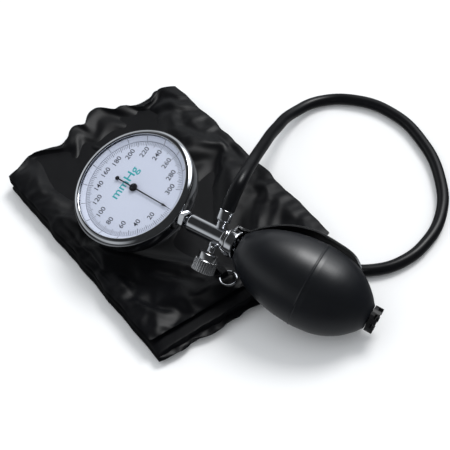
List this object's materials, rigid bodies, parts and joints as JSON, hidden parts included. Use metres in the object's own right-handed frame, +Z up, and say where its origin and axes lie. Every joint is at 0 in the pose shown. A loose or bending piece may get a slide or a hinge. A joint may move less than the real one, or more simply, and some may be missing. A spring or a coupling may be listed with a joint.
{
  "type": "aneroid blood pressure monitor",
  "caption": "Palm-type aneroid arm blood pressure monitor: round chromed gauge, bleed valve, rubber squeeze bulb with palm rest, one air hose and a folded arm cuff.",
  "frame": {"origin": "centre of the base of the bounding box, without the hose, on the surface the monitor lies on", "axes": "+Z up from the surface; +Y from the bulb's end towards the far end of the cuff; +X towards the hose's loop"},
  "size_m": [0.2825, 0.2465, 0.0694],
  "materials": {
    "chrome": "polished",
    "brass": "machined",
    "steel": "machined",
    "dial_white": "satin white",
    "black_paint": "satin black",
    "clear_lens": "clear, polished",
    "black_rubber": "smooth, matt",
    "black_plastic": "moulded",
    "nylon_cloth": "black nylon, slight sheen",
    "fleece_tape": "black hook-and-loop tape"
  },
  "bodies": {
    "monitor": {"gauge_case": "chrome", "gauge_bezel": "chrome", "gauge_lens": "clear_lens", "lens_gasket": "black_rubber", "dial_plate": "dial_white", "scale_ring": "dial_white", "movement_top_plate": "brass", "movement_bottom_plate": "brass", "movement_pillar_a": "brass", "movement_pillar_b": "brass", "movement_pillar_c": "brass", "hairspring": "steel", "capsule": "brass", "rocker_lug_a": "brass", "rocker_lug_b": "brass", "base_block": "brass", "plate_screw": "steel", "gauge_stem": "chrome", "stem_nut": "chrome", "valve_body": "chrome", "hose_barb": "chrome", "barb_collar": "chrome", "release_gland": "chrome", "release_o_ring": "black_rubber", "bulb_connector": "chrome", "connector_ring": "chrome", "spoon": "chrome", "end_valve_body": "black_plastic", "inlet_cover": "black_plastic", "cuff_band": "nylon_cloth", "bladder": "black_rubber", "hook_strip": "fleece_tape", "loop_strip": "fleece_tape", "tube_sleeve": "black_rubber", "ring_tab": "nylon_cloth", "hose": "black_rubber"},
    "sector": {"sector_gear": "brass", "sector_arbor": "steel"},
    "needle": {"pointer": "black_paint", "pointer_hub": "black_paint", "pointer_arbor": "steel"},
    "stud": {"capsule_stud": "steel"},
    "rocker": {"rocker_shaft": "steel"},
    "spindle": {"release_spindle": "brass"},
    "knob": {"release_knob": "chrome"},
    "outlet_valve_ball": {"outlet_ball": "black_rubber"},
    "inlet_valve_ball": {"inlet_ball": "steel"},
    "bulb_shell": {"bulb": "black_rubber"},
    "ring": {"hang_ring": "chrome"}
  },
  "joints": [
    {"name": "sector_swing", "type": "hinge", "parent": "monitor", "child": "sector", "pos_m": [-0.03368, 0.00882, 0.04202], "axis": [-0.2971, -0.1877, 0.9362], "range_deg": [0, 33.5]},
    {"name": "pointer_sweep", "type": "hinge", "parent": "monitor", "child": "needle", "pos_m": [-0.0232, -0.0039, 0.0428], "axis": [-0.2971, -0.1877, 0.9362], "range_deg": [-335.25, 0]},
    {"name": "rocker_tilt", "type": "hinge", "parent": "monitor", "child": "rocker", "pos_m": [-0.02454, 0.00112, 0.03676], "axis": [-0.7128, -0.6089, -0.3482], "range_deg": [0, 10.1]},
    {"name": "capsule_lift", "type": "slide", "parent": "monitor", "child": "stud", "axis": [-0.2971, -0.1877, 0.9362], "range_m": [0, 0.0009], "stiffness_N_per_m": 4000},
    {"name": "knob_turn", "type": "hinge", "parent": "spindle", "child": "knob", "pos_m": [0.02159, -0.05415, 0.044], "axis": [-0.5305, -0.5147, -0.6736], "range_deg": [0, 360]},
    {"name": "spindle_travel", "type": "slide", "parent": "monitor", "child": "spindle", "axis": [-0.5305, -0.5147, -0.6736], "range_m": [0, 0.0008]},
    {"name": "outlet_ball_lift", "type": "slide", "parent": "monitor", "child": "outlet_valve_ball", "axis": [-0.7258, 0.6863, 0.0471], "range_m": [0, 0.0009]},
    {"name": "inlet_ball_lift", "type": "slide", "parent": "monitor", "child": "inlet_valve_ball", "axis": [-0.7753, 0.5489, 0.3123], "range_m": [0, 0.0037]},
    {"name": "bulb_squeeze", "type": "slide", "parent": "monitor", "child": "bulb_shell", "axis": [0.6305, 0.702, 0.3311], "range_m": [0, 0.008], "stiffness_N_per_m": 1200, "deforming": ["bulb"]},
    {"name": "ring_lift", "type": "hinge", "parent": "monitor", "child": "ring", "pos_m": [0.02135, -0.06107, 0.0176], "axis": [-0.8949, -0.4462, 0], "range_deg": [0, 40]}
  ],
  "couplings": [
    {"joint": "sector_swing", "follows": "capsule_lift", "rad_per_m": 649},
    {"joint": "pointer_sweep", "follows": "capsule_lift", "rad_per_m": -6490},
    {"joint": "rocker_tilt", "follows": "capsule_lift", "rad_per_m": 194.7},
    {"joint": "knob_turn", "follows": "spindle_travel", "rad_per_m": 7850}
  ]
}
